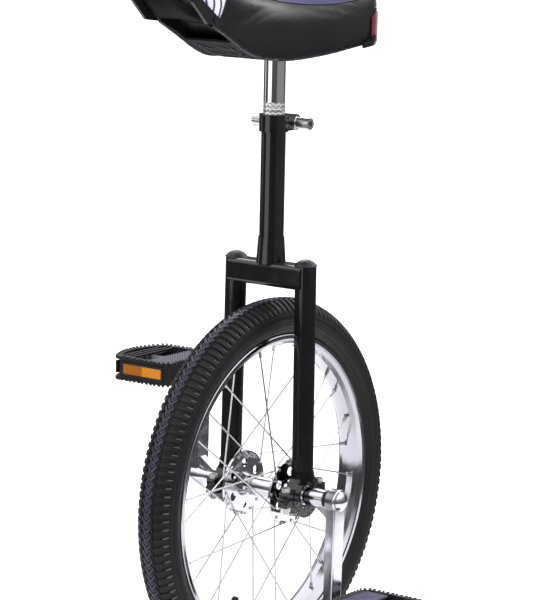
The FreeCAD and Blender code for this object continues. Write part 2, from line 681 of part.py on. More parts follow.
def make_pedal_bushes(side):
    bushes = [ring_y(8.1, SPINDLE_R + 0.05, y, y + 12) for y in (PEDAL_Y[0] + 1, PEDAL_Y[1] - 24)]
    return place_pedal(Part.makeCompound(bushes), side)


def make_pedal_reflectors(side):
    return place_pedal(Part.makeCompound([reflector_block(x, 0) for x in (-1, 1)]), side)


def make_pedal_cap(side):
    plug = cyl_y(8.1, PEDAL_Y[1] - 1, PEDAL_Y[1] + 4)
    lip = cyl_y(9.8, PEDAL_Y[1] + 4, PEDAL_Y[1] + 5.5)
    return place_pedal(plug.fuse(lip), side)


# ---- seat ---------------------------------------------------------------------------
def round_section(x, half_width, low, high):
    """Closed smooth section across the saddle: straight-sided below its widest height, rounded above."""
    bottom = low - SKIRT_DROP
    middle = low + 0.35 * (high - low)
    points = []
    for k in range(28):
        angle = 2 * math.pi * (k + 0.5) / 28 - math.pi / 2
        across = math.copysign(abs(math.cos(angle)) ** (2 / 3.2), math.cos(angle))
        power = 2 / 2.5 if math.sin(angle) > 0 else 2 / 4.0
        rise = math.copysign(abs(math.sin(angle)) ** power, math.sin(angle))
        reach = (high - middle) if rise > 0 else (middle - bottom)
        points.append(vec(x, half_width * across, middle + reach * rise))
    curve = Part.BSplineCurve()
    curve.interpolate(points, PeriodicFlag=True)
    return Part.Wire(curve.toShape())


def square_section(x, half_width, low, high):
    corners = [vec(x, -half_width, low), vec(x, half_width, low), vec(x, half_width, high),
               vec(x, -half_width, high)]
    return Part.makePolygon(corners + corners[:1])


def saddle_hollow(inset, below, above, x_limits):
    """Block that follows the saddle's lower edge, inset from its sides."""
    lows = [s for s in SADDLE if x_limits[0] <= s[0] <= x_limits[1]]
    sections = [square_section(x, w - inset, low - below, low + above) for x, w, low, _ in lows]
    return Part.makeLoft(sections, True)


def screw_holes(radius):
    places = (FRONT_SCREW, REAR_SCREW)
    return Part.makeCompound([cyl_y(radius, -90, 90, x, z) for x, z in places])


def base_block():
    return saddle_hollow(SKIRT + 0.4, -1.0, BASE_DEPTH, BASE_SPAN)


def make_cushion():
    body = Part.makeLoft([round_section(*station) for station in SADDLE], True)
    trim = saddle_hollow(-20.0, 60.0, 0.0, (-130, 230))
    room = saddle_hollow(SKIRT, 25.0, BASE_DEPTH + 0.3, (-119, 198))
    body = body.cut(trim).cut(room).cut(base_block()).cut(rear_bumper_room())
    return body.cut(screw_holes(2.3))


def make_base():
    """Moulded pan under the cushion, closed below the nose, with four bosses for the post's plate."""
    inner = saddle_hollow(SKIRT + 0.4 + BASE_WALL, 30.0, BASE_DEPTH - BASE_WALL, BASE_SPAN)
    floor = saddle_hollow(SKIRT + 2.0, -1.0, 3.5, BASE_SPAN)
    floor = floor.common(box(BASE_FLOOR, (-80, 80), (480, 560)))
    skin = base_block().cut(inner).fuse(floor)
    plate_top = POST_Z[1] + PLATE_THICK
    bosses = [cyl_z(8, plate_top, STUD_TOP_Z, x, y) for x in (-STUD_X, STUD_X) for y in (-STUD_Y, STUD_Y)]
    studs = [cyl_z(3.05, 500, 540, x, y) for x in (-STUD_X, STUD_X) for y in (-STUD_Y, STUD_Y)]
    plate_room = box((-PLATE_HALF[0] - 0.3, PLATE_HALF[0] + 0.3), (-PLATE_HALF[1] - 0.3, PLATE_HALF[1] + 0.3),
                     (500, plate_top))
    base = fuse([skin] + bosses).cut(plate_room)
    return base.cut(Part.makeCompound(studs)).cut(screw_holes(2.3))


def make_studs():
    studs = []
    for x in (-STUD_X, STUD_X):
        for y in (-STUD_Y, STUD_Y):
            studs.append(cyl_z(3.0, POST_Z[1] - 7, STUD_TOP_Z, x, y))
    return Part.makeCompound(studs)


def make_saddle_nuts():
    nuts = []
    for x in (-STUD_X, STUD_X):
        for y in (-STUD_Y, STUD_Y):
            nut = hexagon(10.0, 5.0, vec(x, y, POST_Z[1] - 5), vec(0, 0, 1))
            nuts.append(nut.cut(cyl_z(3.0, 500, 530, x, y)))
    return Part.makeCompound(nuts)


def make_plate():
    plate = box((-PLATE_HALF[0], PLATE_HALF[0]), (-PLATE_HALF[1], PLATE_HALF[1]),
                (POST_Z[1], POST_Z[1] + PLATE_THICK))
    corners = [e for e in plate.Edges if e.BoundBox.ZLength > 3]
    plate = plate.makeFillet(8.0, corners)
    holes = [cyl_z(3.3, 500, 530, x, y) for x in (-STUD_X, STUD_X) for y in (-STUD_Y, STUD_Y)]
    return plate.cut(Part.makeCompound(holes))


def make_post():
    return cyl_z(POST_R, *POST_Z).cut(cyl_z(POST_R - POST_WALL, 0, 600))


def rounded_u(x_open, x_end, half_width, corner):
    """U-shaped plan outline, open at x_open and rounded at x_end."""
    sign = 1 if x_end > x_open else -1
    bend = x_end - sign * corner
    short = corner * (1 - math.sqrt(0.5))
    points = [vec(x_open, -half_width, 0), vec(bend, -half_width, 0),
              vec(x_end - sign * short, -half_width + short, 0), vec(x_end, -half_width + corner, 0),
              vec(x_end, half_width - corner, 0), vec(x_end - sign * short, half_width - short, 0),
              vec(bend, half_width, 0), vec(x_open, half_width, 0)]
    edges = [Part.makeLine(points[0], points[1]), Part.Arc(*points[1:4]).toShape(),
             Part.makeLine(points[3], points[4]), Part.Arc(*points[4:7]).toShape(),
             Part.makeLine(points[6], points[7]), Part.makeLine(points[7], points[0])]
    return Part.Face(Part.Wire(edges))


def slanted_band(plan_out, plan_in, z0, z1, lean):
    """Wall between two plans, pushed up from z0 to z1 and leaning along X by lean per mm."""
    rise = vec(lean * (z1 - z0), 0, z1 - z0)
    wall = plan_out.extrude(rise).cut(plan_in.extrude(rise))
    wall.translate(vec(0, 0, z0))
    return wall


def side_slab(points):
    """Slab across the saddle whose side view is the polygon of (x, z) points."""
    corners = [vec(x, -120, z) for x, z in points]
    return Part.Face(Part.makePolygon(corners + corners[:1])).extrude(vec(0, 240, 0))


def make_front_bumper():
    """Nose bumper: short side walls that sweep up into a leaning band, the lift handle."""
    z0, z1 = 540.0, 610.0
    reach = 208.0 - (557.0 - z0)
    inner = rounded_u(60, reach - FRONT_WALL, FRONT_HALF_WIDTH, FRONT_CORNER)
    outer = rounded_u(60, reach, FRONT_HALF_WIDTH + FRONT_WALL, FRONT_CORNER + FRONT_WALL)
    wall = slanted_band(outer, inner, z0, z1, 1.0)
    side = side_slab([(156, 551.5), (186, 555), (212, 579), (222, 583), (262, 583), (262, 600),
                      (222, 600), (161, 557.5)])
    return wall.common(side).cut(screw_holes(2.1))


def rear_plan(grow):
    """Plan outline round the saddle's rear, this far outside the bumper's inner face."""
    return rounded_u(-60, REAR_X - grow, REAR_HALF_WIDTH + grow, REAR_CORNER + grow)


def rear_side_view(grow):
    """Side view of the rear bumper: a lip below the skirt and an upright end."""
    return side_slab([(-66 + grow, 518 - grow), (-140, 524 - grow), (-140, 562 + grow), (-94, 562 + grow),
                      (-86 + grow, 542 + grow), (-78 + grow, 528 + grow), (-66 + grow, 523 + grow)])


def rear_bumper_room():
    """Recess in the cushion that the rear bumper sits in."""
    return slanted_band(rear_plan(25.0), rear_plan(-0.3), 500, 590, 0.0).common(rear_side_view(0.3))


def make_rear_bumper():
    wall = slanted_band(rear_plan(REAR_WALL), rear_plan(0.0), 505, 590, 0.0)
    return wall.common(rear_side_view(0.0)).cut(screw_holes(2.1))


def make_rear_insert():
    """Coloured strip set on the rear bumper's face."""
    inside = REAR_WALL + 0.1
    wall = slanted_band(rear_plan(inside + INSERT_THICK), rear_plan(inside), 505, 590, 0.0)
    return wall.common(side_slab([(-103, 523.5), (-140, 527), (-140, 558), (-105, 556)]))


def make_bumper_screws():
    screws = []
    for side in (1, -1):
        for (x, z), face in ((FRONT_SCREW, FRONT_HALF_WIDTH + FRONT_WALL), (REAR_SCREW, REAR_SCREW_FACE)):
            ends = sorted((side * (face - 9.0), side * (face + 0.5)))
            shank = cyl_y(1.9, ends[0], ends[1], x, z)
            head_ends = sorted((side * face, side * (face + 1.6)))
            screws.append(shank.fuse(cyl_y(3.8, head_ends[0], head_ends[1], x, z)))
    return Part.makeCompound(screws)


# ---- write every piece --------------------------------------------------------------
def main():
    os.makedirs("parts", exist_ok=True)
    write("tyre", make_tyre())
    write("inner_tube", make_inner_tube())
    write("rim_tape", make_rim_tape())
    write("rim", make_rim())
    write("rim_joint_sleeve", make_joint_sleeve())
    write("valve", *make_valve())
    write("valve_cap", make_valve_cap())
    both = range(SPOKES_PER_SIDE)
    write("left_spokes", *[make_spoke(k, 1) for k in both])
    write("right_spokes", *[make_spoke(k, -1) for k in both])
    write("nipples", *[make_nipple(k, side) for side in (1, -1) for k in both])
    write("hub_shell", make_hub_shell())
    write("axle", make_axle())

    write("bearing_outer_rings", make_outer_ring(), mirrored(make_outer_ring()))
    write("bearing_inner_rings", make_inner_ring(), mirrored(make_inner_ring()))
    write_pair("bearing_balls", make_balls())
    write_pair("bearing_cage", make_cage())
    write("bearing_seals", make_seals(), mirrored(make_seals()))
    write_pair("bearing_holder", make_holder())
    write_pair("bearing_cap", make_holder_cap())
    write("bearing_cap_bolts", make_cap_bolts())
    write("bearing_cap_nuts", make_cap_nuts())

    write("neck_tube", make_neck())
    write("fork_crown", make_crown())
    write_pair("fork_leg", make_leg())
    cap = make_leg_cap()
    write("leg_end_caps", cap, mirrored(cap))
    write("seat_collar", make_collar())
    write("collar_bolt", make_collar_bolt())
    write("collar_nut", make_collar_nut())
    write("collar_washers", make_collar_washers())

    write_pair("crank", make_crank(1), make_crank(-1))
    write("crank_bolts", make_crank_bolt(1), make_crank_bolt(-1))
    write("crank_dust_caps", make_dust_cap(1), make_dust_cap(-1))
    write_pair("pedal_spindle", make_spindle(1), make_spindle(-1))
    write("pedal_spindle_nuts", make_spindle_nut(1), make_spindle_nut(-1))
    write_pair("pedal_body", make_pedal_body(1), make_pedal_body(-1))
    write_pair("pedal_bushes", make_pedal_bushes(1), make_pedal_bushes(-1))
    write_pair("pedal_reflectors", make_pedal_reflectors(1), make_pedal_reflectors(-1))
    write_pair("pedal_cap", make_pedal_cap(1), make_pedal_cap(-1))

    write("seat_post", make_post())
    write("post_plate", make_plate())
    write("saddle_base", make_base())
    write("saddle_studs", make_studs())
    write("saddle_nuts", make_saddle_nuts())
    write("saddle_cushion", make_cushion())
    write("front_bumper", make_front_bumper())
    write("rear_bumper", make_rear_bumper())
    write("rear_bumper_insert", make_rear_insert())
    write("bumper_screws", make_bumper_screws())


main()
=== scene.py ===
import json
import math

import bmesh
import bpy
from mathutils import Matrix, Vector
from mathutils.bvhtree import BVHTree


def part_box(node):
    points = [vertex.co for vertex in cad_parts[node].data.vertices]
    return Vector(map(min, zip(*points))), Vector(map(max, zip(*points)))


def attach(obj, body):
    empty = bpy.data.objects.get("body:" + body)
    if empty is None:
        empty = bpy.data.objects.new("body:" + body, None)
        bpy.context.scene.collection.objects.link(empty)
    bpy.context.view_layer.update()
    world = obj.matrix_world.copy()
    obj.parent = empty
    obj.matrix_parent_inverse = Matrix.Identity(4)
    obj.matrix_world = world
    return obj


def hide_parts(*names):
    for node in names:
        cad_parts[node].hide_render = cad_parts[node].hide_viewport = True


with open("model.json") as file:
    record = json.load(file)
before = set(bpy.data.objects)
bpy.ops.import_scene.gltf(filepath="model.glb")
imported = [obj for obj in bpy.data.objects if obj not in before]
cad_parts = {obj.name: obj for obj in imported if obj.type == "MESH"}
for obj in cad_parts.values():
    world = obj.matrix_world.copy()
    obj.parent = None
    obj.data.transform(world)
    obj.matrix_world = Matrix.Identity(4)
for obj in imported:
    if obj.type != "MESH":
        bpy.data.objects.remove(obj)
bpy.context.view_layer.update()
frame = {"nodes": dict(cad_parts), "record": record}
nodes = frame["nodes"]

MM = 0.001
tyre_low, tyre_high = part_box("tyre")
HUB_Z = (tyre_low.z + tyre_high.z) / 2

# ---- tyre sizes, in millimetres -----------------------------------------------------
TYRE_SECTION_R = 24.0
TYRE_CENTRE_R = (tyre_high.z - tyre_low.z) / 2 / MM - TYRE_SECTION_R
CARCASS_R = 23.6
SHOULDER_R = 22.7            # upper sidewall, set in below the blocks
TREAD_FLOOR_R = 21.9
TREAD_EDGE = 25.6            # along the section, from the middle of the tread
HOOK = 55.0                  # along the section, where the sidewall meets the rim
PITCHES = 144                # tread blocks round the tyre
BEAD = [(15.4, 184.4), (15.3, 178.2), (12.4, 178.2), (12.4, 184.0)]
LINER_R = 19.5
LINER_SWING = 2.35           # radians, from the middle of the tread to the liner's edge
SECTION_STEP = 0.45
RIDGE = (6.9, 8.1)           # along the section, beside the centre chevrons
RIDGE_HEIGHT = 1.7
SHOULDER_END = 36.0
SHOULDER_LINES = ((28.0, 28.9), (31.0, 31.9))
SHOULDER_LINE_HEIGHT = 0.5
SIDEWALL_LINES = (38.0, 40.5, 49.0)
SIDEWALL_LINE_WIDTH = 0.9

# ---- tread blocks, in millimetres ---------------------------------------------------
BLOCK_SINK = 0.4             # how far a block's foot goes below the tread's floor
BLOCK_FOOT = 0.35            # how much wider it is there, on each side
BLOCK_EDGE_DROP = 0.45
BLOCK_EDGE_IN = 0.4
BAR_STATIONS = (8.9, 12.0, 15.0, 18.0, 21.0, 24.0, 27.0)
BAR_START = 9.0
BAR_SLANT = 0.11
BAR_HALF = 2.35
BAR_WIDENING = 0.02
RIB_STATIONS = (20.5, 23.0, 25.5, 27.4)
RIB_SHIFT = 2.3
RIB_HALF = 0.75
CHEVRON_STATIONS = (-6.2, -4.0, -2.0, 0.0, 2.0, 4.0, 6.2)
CHEVRON_SLANT = 1.15
CHEVRON_HALF = 2.3
SPINE_STATIONS = (-4.0, -2.0, 0.0, 2.0, 4.0)
SPINE_SHIFT = -4.4
SPINE_HALF = 0.8

# ---- pedal sizes, in millimetres ----------------------------------------------------
PEDAL_CORNER = 9.0
PEDAL_BOW = 7.0
PEDAL_WALL = 4.5
FLANGE_THICK = 4.2
TOOTH_PITCH = 6.4
TOOTH_DEPTH = 1.0
TOOTH_SAG = 1.2              # how far the flange's face drops between two teeth
WAIST_IN = 1.5               # the wall between the flanges, set in from their edges
WAIST_SHORT = 5.0
BAR_ROWS = (38.0, -19.0, -8.5)    # cross bars; a negative place is from the outer end
BAR_WIDTH = 2.6
BAR_TALL = 7.5
SLAT_ROWS = (25.0, 17.5, 10.0)    # slats of the open half, from the outer end
SLAT_WIDTH = 2.4
BEZEL = 2.2
BEZEL_GAP = 0.1
DECK_Y = (5.0, 38.5)
DECK_RIB_Y = (6.0, 37.5)
DECK_RIB_PITCH = 3.4
DECK_RIB_HALF = 0.65
DECK_RIB_SLOPE = -0.8
STUD_HALF_LENGTH = 1.5
STUD_HALF_WIDTH = 0.7
STUD_SINK = 0.5
STUD_RISE = 0.3
STUD_IN = 1.9
BARREL_SECTION = ((10.4, 1.0), (10.4, -8.0), (9.4, -6.0), (8.15, -6.0), (8.15, 1.0))

BOX_FACES = ((0, 1, 3, 2), (4, 6, 7, 5), (0, 4, 5, 1), (2, 3, 7, 6), (0, 2, 6, 4), (1, 5, 7, 3))

# ---- saddle places, in metres -------------------------------------------------------
SEAM_LOW_Z = HUB_Z + 0.569   # lowest place of the seam between skirt and top
SEAM_LOW_X = -0.01
SEAM_RISE = 1.6
PANEL_TIP = (0.1615, HUB_Z + 0.5566)
PANEL_LEAN = 0.577           # how fast the panel's rear edge goes back as it rises
PANEL_RUN = 1.393            # how fast its front edge goes forward
CUSHION_VOXEL = 0.0023
CUSHION_CAP = 0.004          # furthest that any point of the cushion may swell
HELD_BELOW = 0.045           # under the seam: here the cover is held, and above it comes free
HELD_FADE = 0.03
STRIP_INNER_R = 0.0581
STRIP_OUTER_R = 0.0593
STRIP_START = 98             # degrees round the bumper's corner, where the strip begins
STRIP_NARROW = 0.72          # height of the strip's ends, as a share of its middle


# ---- material nodes -----------------------------------------------------------------
class Graph:
    """Adds and links the shader nodes of one material."""

    def __init__(self, name, roughness=0.5, metallic=0.0, **sockets):
        self.material = bpy.data.materials.new(name)
        self.material.use_nodes = True
        self.nodes = self.material.node_tree.nodes
        self.links = self.material.node_tree.links
        self.shader = self.nodes["Principled BSDF"]
        self.place = self.nodes.new("ShaderNodeTexCoord").outputs["Object"]
        self.put(self.shader.inputs["Roughness"], roughness)
        self.put(self.shader.inputs["Metallic"], metallic)
        for socket, value in sockets.items():
            self.put(self.shader.inputs[socket.replace("_", " ")], value)

    def put(self, socket, value):
        if isinstance(value, bpy.types.NodeSocket):
            self.links.new(value, socket)
        elif hasattr(value, "__len__") and len(value) == 3 and len(socket.default_value) == 4:
            socket.default_value = (*value, 1.0)
        else:
            socket.default_value = value

    def calc(self, operation, a, b=0.0):
        node = self.nodes.new("ShaderNodeMath")
        node.operation = operation
        self.put(node.inputs[0], a)
        self.put(node.inputs[1], b)
        return node.outputs[0]

    def axes(self):
        node = self.nodes.new("ShaderNodeSeparateXYZ")
        self.put(node.inputs[0], self.place)
        return node.outputs

    def noise(self, scale, detail=3.0):
        node = self.nodes.new("ShaderNodeTexNoise")
        self.put(node.inputs["Vector"], self.place)
        self.put(node.inputs["Scale"], scale)
        self.put(node.inputs["Detail"], detail)
        return node.outputs["Fac"]

    def cells(self, scale):
        node = self.nodes.new("ShaderNodeTexVoronoi")
        self.put(node.inputs["Vector"], self.place)
        self.put(node.inputs["Scale"], scale)
        return node.outputs["Distance"]

    def span(self, value, low, high, to_low=0.0, to_high=1.0):
        node = self.nodes.new("ShaderNodeMapRange")
        for index, number in enumerate((value, low, high, to_low, to_high)):
            self.put(node.inputs[index], number)
        return node.outputs[0]

    def mix(self, factor, a, b):
        node = self.nodes.new("ShaderNodeMix")
        node.data_type = "RGBA"
        self.put(node.inputs["Factor"], factor)
        self.put(node.inputs[6], a)
        self.put(node.inputs[7], b)
        return node.outputs[2]

    def bump(self, height, strength, distance):
        node = self.nodes.new("ShaderNodeBump")
        self.put(node.inputs["Strength"], strength)
        self.put(node.inputs["Distance"], distance)
        self.put(node.inputs["Height"], height)
        self.put(self.shader.inputs["Normal"], node.outputs[0])

    def colour(self, value):
        self.put(self.shader.inputs["Base Color"], value)

    def rough(self, value):
        self.put(self.shader.inputs["Roughness"], value)


def plated_metal(name, dark, light, rough, grain=0.0):
    """Metal with faint smudges, hairline scratches and slightly uneven plating."""
    g = Graph(name, metallic=1.0)
    smudge = g.noise(14.0, 4.0)
    g.colour(g.mix(smudge, dark, light))
    g.rough(g.span(g.noise(55.0, 5.0), 0.3, 0.7, rough * 0.7, rough * 1.4))
    if grain:
        g.bump(g.noise(900.0, 2.0), grain, 0.0002)
    return g.material


def plastic(name, dark, light, rough, grain=0.25, grain_scale=1400.0, shine=0.25):
    """Moulded plastic or rubber with a fine grain and small changes of shade."""
    g = Graph(name, Specular_IOR_Level=shine)
    g.colour(g.mix(g.noise(30.0, 4.0), dark, light))
    g.rough(g.span(g.noise(70.0, 4.0), 0.3, 0.7, rough - 0.06, rough + 0.08))
    g.bump(g.cells(grain_scale), grain, 0.0002)
    return g.material


def enamel(name):
    """Gloss black enamel with a slight orange peel."""
    g = Graph(name, Specular_IOR_Level=0.5)
    g.colour(g.mix(g.noise(25.0, 3.0), (0.003, 0.003, 0.004), (0.007, 0.007, 0.008)))
    g.rough(g.span(g.noise(80.0, 3.0), 0.3, 0.7, 0.08, 0.16))
    g.bump(g.noise(260.0, 2.0), 0.08, 0.0004)
    return g.material


def cast_enamel(name):
    """Black enamel over a lumpy casting."""
    g = Graph(name, Specular_IOR_Level=0.5)
    g.colour(g.mix(g.noise(25.0, 3.0), (0.002, 0.002, 0.003), (0.006, 0.006, 0.007)))
    g.rough(g.span(g.noise(120.0, 3.0), 0.3, 0.7, 0.08, 0.2))
    g.bump(g.noise(150.0, 2.0), 0.35, 0.0009)
    return g.material


def post_chrome(band_low, band_high):
    """Polished chrome with a band of diamond knurling above the seat clamp; in the band the grooves
    are painted dark as painted shade and the diamond tops are painted light as painted highlight.
    """
    g = Graph("post_chrome", metallic=1.0)
    x, y, z = g.axes()
    angle = g.calc("ARCTAN2", y, x)
    round_post = g.calc("MULTIPLY", angle, 6.0)
    upwards = g.calc("MULTIPLY", z, 640.0)
    left = g.calc("SINE", g.calc("ADD", round_post, upwards))
    right = g.calc("SINE", g.calc("SUBTRACT", round_post, upwards))
    diamonds = g.calc("MULTIPLY", left, right)
    above = g.calc("GREATER_THAN", z, band_low)
    below = g.calc("LESS_THAN", z, band_high)
    band = g.calc("MULTIPLY", above, below)
    # Painted shade: the knurl's grooves are coloured dark. Painted highlight: the diamond tops
    # between them are coloured lighter than the plating.
    groove_shade = g.calc("MULTIPLY", g.span(g.calc("ABSOLUTE", diamonds), 0.10, 0.25, 1.0, 0.0), band)
    plating = g.mix(g.noise(14.0, 4.0), (0.60, 0.60, 0.62), (0.76, 0.76, 0.78))
    g.colour(g.mix(groove_shade, g.mix(band, plating, (0.86, 0.86, 0.88)), (0.30, 0.30, 0.32)))
    plain = g.span(g.noise(55.0, 5.0), 0.3, 0.7, 0.05, 0.10)
    g.rough(g.calc("ADD", plain, g.calc("MULTIPLY", band, 0.42)))
    g.bump(g.calc("MULTIPLY", diamonds, band), 0.8, 0.0006)
    return g.material


def amber_lens():
    """Prismatic reflector: small facets painted lighter and darker as painted glints and painted
    shade, and the two halves of its length, split at the middle, painted in a lighter and a darker
    amber as painted shade.
    """
    g = Graph("amber_lens", roughness=0.16, Specular_IOR_Level=0.15)
    x, y, z = g.axes()
    facet_y = g.calc("SINE", g.calc("MULTIPLY", y, 1700.0))
    facet_z = g.calc("SINE", g.calc("MULTIPLY", z, 1700.0))
    facets = g.calc("MULTIPLY", facet_y, facet_z)
    middle_low, middle_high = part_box("left_pedal_reflectors")
    half = g.calc("GREATER_THAN", g.calc("ABSOLUTE", y), (middle_low.y + middle_high.y) / 2)
    # Painted shade and painted glints: each facet is coloured between a darker and a lighter amber,
    # and one half of the reflector gets darker amber than the other.
    shaded_amber = g.mix(half, (0.30, 0.085, 0.003), (0.10, 0.026, 0.002))
    glinting_amber = g.mix(half, (0.62, 0.22, 0.010), (0.40, 0.13, 0.006))
    g.colour(g.mix(g.span(facets, -1.0, 1.0), shaded_amber, glinting_amber))
    g.bump(facets, 0.6, 0.0004)
    return g.material


def saddle_cover():
    """Black vinyl skirt, woven blue-violet top and pale nose panel, divided at the seams; faces
    turned downwards are painted near black as painted shade.
    """
    g = Graph("saddle_cover")
    x, y, z = g.axes()
    from_low = g.calc("SUBTRACT", x, SEAM_LOW_X)
    seam = g.calc("ADD", g.calc("MULTIPLY", g.calc("POWER", g.calc("ABSOLUTE", from_low), 2.0),
                                SEAM_RISE), SEAM_LOW_Z)
    top = g.calc("GREATER_THAN", g.calc("SUBTRACT", z, seam), 0.0)
    above_tip = g.calc("SUBTRACT", z, PANEL_TIP[1])
    ahead = g.calc("SUBTRACT", x, PANEL_TIP[0])
    behind_front = g.calc("GREATER_THAN", g.calc("MULTIPLY", above_tip, PANEL_RUN), ahead)
    past_rear = g.calc("GREATER_THAN", ahead, g.calc("MULTIPLY", above_tip, -PANEL_LEAN))
    nose = g.calc("MULTIPLY", behind_front, past_rear)
    warp = g.calc("SINE", g.calc("MULTIPLY", g.calc("ADD", x, y), 3900.0))
    weft = g.calc("SINE", g.calc("MULTIPLY", g.calc("SUBTRACT", x, y), 3900.0))
    weave = g.calc("MULTIPLY", warp, weft)
    vinyl = g.mix(g.noise(22.0, 4.0), (0.006, 0.006, 0.007), (0.012, 0.012, 0.014))
    cloth = g.mix(g.span(weave, -1.0, 1.0), (0.020, 0.018, 0.070), (0.070, 0.062, 0.190))
    sway = g.calc("MULTIPLY", g.calc("SINE", g.calc("MULTIPLY", z, 190.0)), 1.1)
    stripes = g.calc("SINE", g.calc("ADD", g.calc("MULTIPLY", x, 520.0), sway))
    printed = g.span(stripes, 0.55, 0.75)
    pale = g.mix(g.noise(60.0, 3.0), (0.55, 0.55, 0.60), (0.74, 0.74, 0.78))
    panel = g.mix(printed, pale, (0.045, 0.035, 0.13))
    # Painted shade: faces turned downwards are coloured near black and given little specular, as
    # the unlit underside of the cover.
    facing = g.nodes.new("ShaderNodeSeparateXYZ")
    g.put(facing.inputs[0], g.nodes.new("ShaderNodeNewGeometry").outputs["True Normal"])
    under = g.span(facing.outputs[2], -0.55, -0.35, 1.0, 0.0)
    covered = g.mix(nose, g.mix(top, vinyl, cloth), panel)
    g.colour(g.mix(under, covered, (0.002, 0.002, 0.002)))
    g.put(g.shader.inputs["Specular IOR Level"], g.span(under, 0.0, 1.0, 0.30, 0.02))
    grain = g.cells(900.0)
    woven = g.calc("MAXIMUM", top, nose)
    vinyl_rough = g.span(g.noise(45.0, 4.0), 0.3, 0.7, 0.27, 0.36)
    g.rough(g.calc("ADD", vinyl_rough, g.calc("MULTIPLY", top, 0.30)))
    fine = g.calc("MULTIPLY", weave, woven)
    leathery = g.calc("MULTIPLY", grain, g.calc("SUBTRACT", 1.0, woven))
    g.bump(g.calc("ADD", fine, leathery), 0.35, 0.00025)
    return g.material


# ---- mesh helpers -------------------------------------------------------------------
def add_piece(name, verts, faces, body, material, smooth=False):
    mesh = bpy.data.meshes.new(name)
    mesh.from_pydata([Vector(v) for v in verts], [], faces)
    mesh.validate()
    work = bmesh.new()
    work.from_mesh(mesh)
    bmesh.ops.recalc_face_normals(work, faces=work.faces)
    work.to_mesh(mesh)
    work.free()
    for face in mesh.polygons:
        face.use_smooth = smooth
    piece = bpy.data.objects.new(name, mesh)
    bpy.context.scene.collection.objects.link(piece)
    piece.data.materials.append(material)
    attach(piece, body)
    return piece


def ring_faces(rings, points):
    """Quads of a closed grid: rings round the piece, points round its section."""
    faces = []
    for i in range(rings):
        for j in range(points):
            a, b = i * points + j, i * points + (j + 1) % points
            c, d = ((i + 1) % rings) * points + j, ((i + 1) % rings) * points + (j + 1) % points
            faces.append((a, b, d, c))
    return faces


# ---- tyre ---------------------------------------------------------------------------
def wheel_point(turn, along, reach):
    """Point at an angle round the wheel, a length along the section and a section radius."""
    lean = along / TYRE_SECTION_R
    radius = TYRE_CENTRE_R + reach * math.cos(lean)
    return (radius * math.cos(turn) * MM, reach * math.sin(lean) * MM,
            HUB_Z + radius * math.sin(turn) * MM)


def carcass_reach(along):
    """Section radius of the tyre under its blocks, with its ridges and moulded lines."""
    s = abs(along)
    if s < TREAD_EDGE:
        return TREAD_FLOOR_R + (RIDGE_HEIGHT if RIDGE[0] < s < RIDGE[1] else 0.0)
    if s < SHOULDER_END:
        on_line = any(start < s < end for start, end in SHOULDER_LINES)
        return SHOULDER_R + (SHOULDER_LINE_HEIGHT if on_line else 0.0)
    on_line = any(start < s < start + SIDEWALL_LINE_WIDTH for start in SIDEWALL_LINES)
    return TYRE_SECTION_R if on_line else CARCASS_R


def make_carcass(rubber):
    """Tyre without its blocks: the outside, the beads and the liner, swept round the wheel."""
    steps = [k * SECTION_STEP - HOOK for k in range(int(2 * HOOK / SECTION_STEP) + 1)]
    keep = [s for i, s in enumerate(steps)
            if i % 4 == 0 or carcass_reach(s) != carcass_reach(s + SECTION_STEP)
            or carcass_reach(s) != carcass_reach(s - SECTION_STEP)]
    section = []
    for s in keep:
        lean = s / TYRE_SECTION_R
        reach = carcass_reach(s)
        section.append((reach * math.sin(lean), TYRE_CENTRE_R + reach * math.cos(lean)))
    section += BEAD
    for k in range(25):
        lean = LINER_SWING - 2 * LINER_SWING * k / 24
        section.append((LINER_R * math.sin(lean), TYRE_CENTRE_R + LINER_R * math.cos(lean)))
    section += [(-y, r) for y, r in reversed(BEAD)]
    rings = 2 * PITCHES
    verts = []
    for i in range(rings):
        turn = 2 * math.pi * i / rings
        verts += [(r * math.cos(turn) * MM, y * MM, HUB_Z + r * math.sin(turn) * MM)
                  for y, r in section]
    tyre = add_piece("tyre_carcass", verts, ring_faces(rings, len(section)), "wheel", rubber, True)
    tyre.data.set_sharp_from_angle(angle=math.radians(32))
    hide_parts("tyre")


def add_block(verts, faces, turn, stations, top):
    """Tread block whose stations are (along the section, offset round the tyre, half width)."""
    first = len(verts)
    for along, offset, half in stations:
        for reach, width in ((TREAD_FLOOR_R - BLOCK_SINK, half + BLOCK_FOOT),
                             (top - BLOCK_EDGE_DROP, half), (top, half - BLOCK_EDGE_IN)):
            for side in (-1, 1):
                angle = turn + (offset + side * width) / (TYRE_CENTRE_R + TYRE_SECTION_R)
                verts.append(wheel_point(angle, along, reach))
    loop = (0, 2, 4, 5, 3, 1)
    for i in range(len(stations) - 1):
        a, b = first + 6 * i, first + 6 * (i + 1)
        for p, q in zip(loop, loop[1:] + loop[:1]):
            faces.append((a + p, a + q, b + q, b + p))
    last = first + 6 * (len(stations) - 1)
    faces.append(tuple(first + p for p in loop))
    faces.append(tuple(last + p for p in reversed(loop)))


